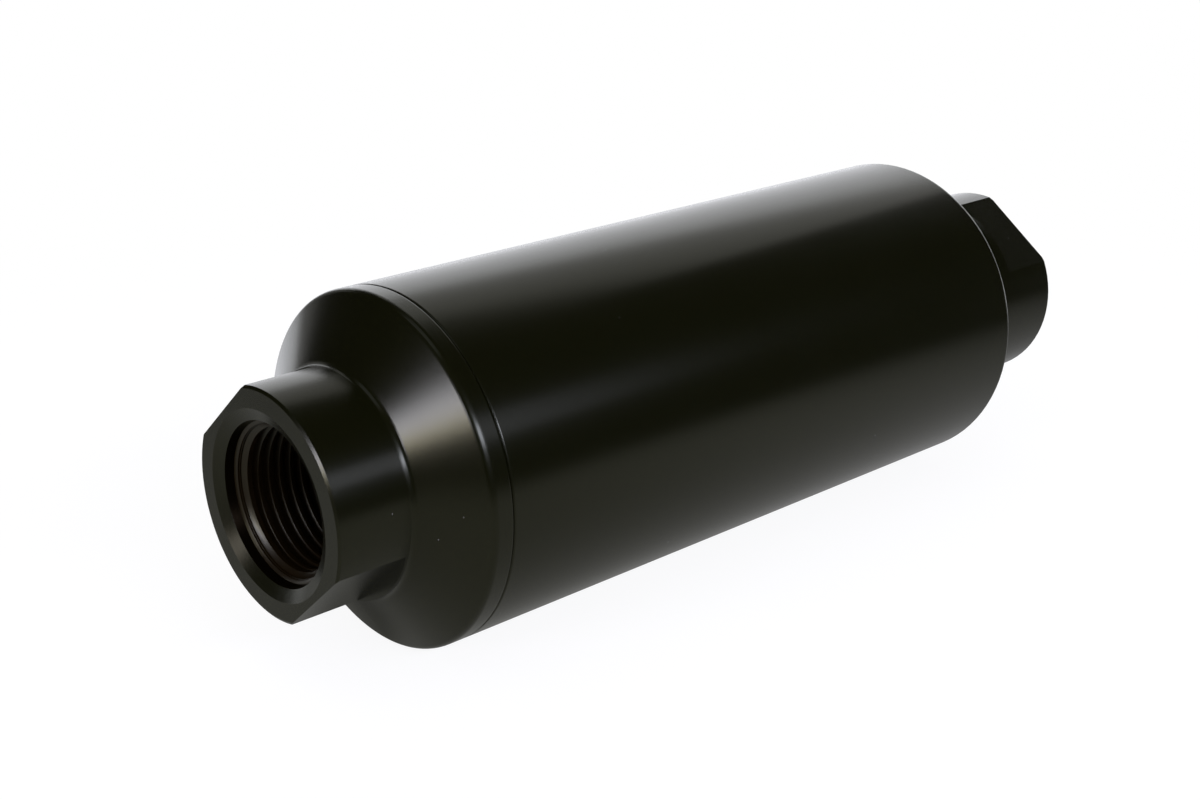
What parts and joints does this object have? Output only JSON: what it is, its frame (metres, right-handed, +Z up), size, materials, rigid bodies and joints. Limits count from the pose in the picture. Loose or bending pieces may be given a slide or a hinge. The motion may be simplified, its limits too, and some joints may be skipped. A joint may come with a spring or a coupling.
{
  "type": "inline filter",
  "caption": "Round inline fluid filter: a turned housing and a screw-in end cap with wrench flats and a threaded port at each end, around a pleated element.",
  "frame": {"origin": "on the filter's axis, at the middle of the barrel", "axes": "+X along the filter's axis from the inlet cap towards the outlet, +Z up"},
  "size_m": [0.1912, 0.0636, 0.0636],
  "materials": {
    "black_anodised": "satin black anodised",
    "seal_rubber": "matt moulded rubber",
    "spring_steel": "drawn stainless wire",
    "plated_steel": "zinc plated sheet",
    "adhesive": "cured amber adhesive",
    "filter_medium": "resin-bonded cellulose, pleated"
  },
  "bodies": {
    "housing": {"housing": "black_anodised", "element_spring": "spring_steel", "inlet_end_disc": "plated_steel", "inlet_potting": "adhesive", "pleated_media": "filter_medium", "media_seam_clip": "plated_steel", "element_core": "plated_steel", "outlet_potting": "adhesive", "outlet_end_disc": "plated_steel", "element_o_ring": "seal_rubber"},
    "cap_seal": {"cap_o_ring": "seal_rubber"},
    "end_cap": {"end_cap": "black_anodised"}
  },
  "joints": [
    {"name": "cap_travel", "type": "slide", "parent": "housing", "child": "cap_seal", "axis": [-1, 0, 0], "range_m": [0, 0.01]},
    {"name": "cap_turn", "type": "hinge", "parent": "cap_seal", "child": "end_cap", "pos_m": [-0.067, 0, 0], "axis": [-1, 0, 0], "range_deg": [0, 1800]}
  ],
  "couplings": [
    {"joint": "cap_travel", "follows": "cap_turn", "m_per_rad": 0.00031831}
  ]
}
